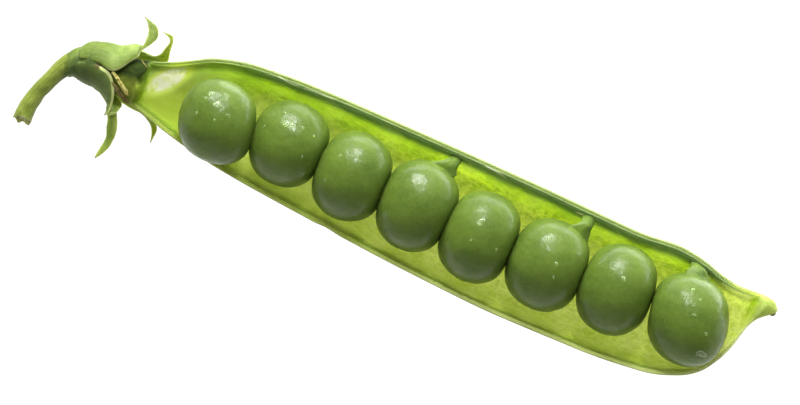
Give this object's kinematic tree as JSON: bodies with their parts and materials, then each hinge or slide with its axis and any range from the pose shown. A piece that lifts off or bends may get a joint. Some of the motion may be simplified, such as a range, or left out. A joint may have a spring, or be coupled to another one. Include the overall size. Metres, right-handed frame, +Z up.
{
  "type": "pea pod",
  "caption": "Opened garden pea pod: the back valve lying on its belly with a row of round green peas, seed stalks, a calyx with curled sepals, and a short cut stalk.",
  "frame": {"origin": "on the flat of the valve's belly that the pod lies on, below its middle", "axes": "+X along the pod from the stalk to the beak, +Y towards the seam that carries the seeds, +Z up out of the open side"},
  "size_m": [0.0861, 0.0166, 0.0113],
  "materials": {
    "pod_flesh": "moist, lime-green lining with fine veins, and a waxy mid-green outside",
    "pea_skin": "smooth taut skin, glossy, with small dimples and droplets of water",
    "seed_stalk_flesh": "moist, pale green",
    "sepal_leaf": "matt leaf with a waxy bloom and fine parallel veins",
    "stalk_skin": "satin green stalk with fine ribs and a browned cut end",
    "dried_tissue": "dry, matt tan to brown"
  },
  "bodies": {
    "root": {"pod_valve": "pod_flesh", "pea_1": "pea_skin", "pea_2": "pea_skin", "pea_3": "pea_skin", "pea_4": "pea_skin", "pea_5": "pea_skin", "pea_6": "pea_skin", "pea_7": "pea_skin", "pea_8": "pea_skin", "seed_stalk_4": "seed_stalk_flesh", "seed_stalk_6": "seed_stalk_flesh", "seed_stalk_8": "seed_stalk_flesh", "calyx_cup": "sepal_leaf", "sepal_1": "sepal_leaf", "sepal_2": "sepal_leaf", "sepal_3": "sepal_leaf", "sepal_4": "sepal_leaf", "sepal_5": "sepal_leaf", "stalk": "stalk_skin", "dried_stamen_1": "dried_tissue", "dried_stamen_2": "dried_tissue", "dried_stamen_3": "dried_tissue", "style_tip": "dried_tissue"}
  },
  "joints": []
}
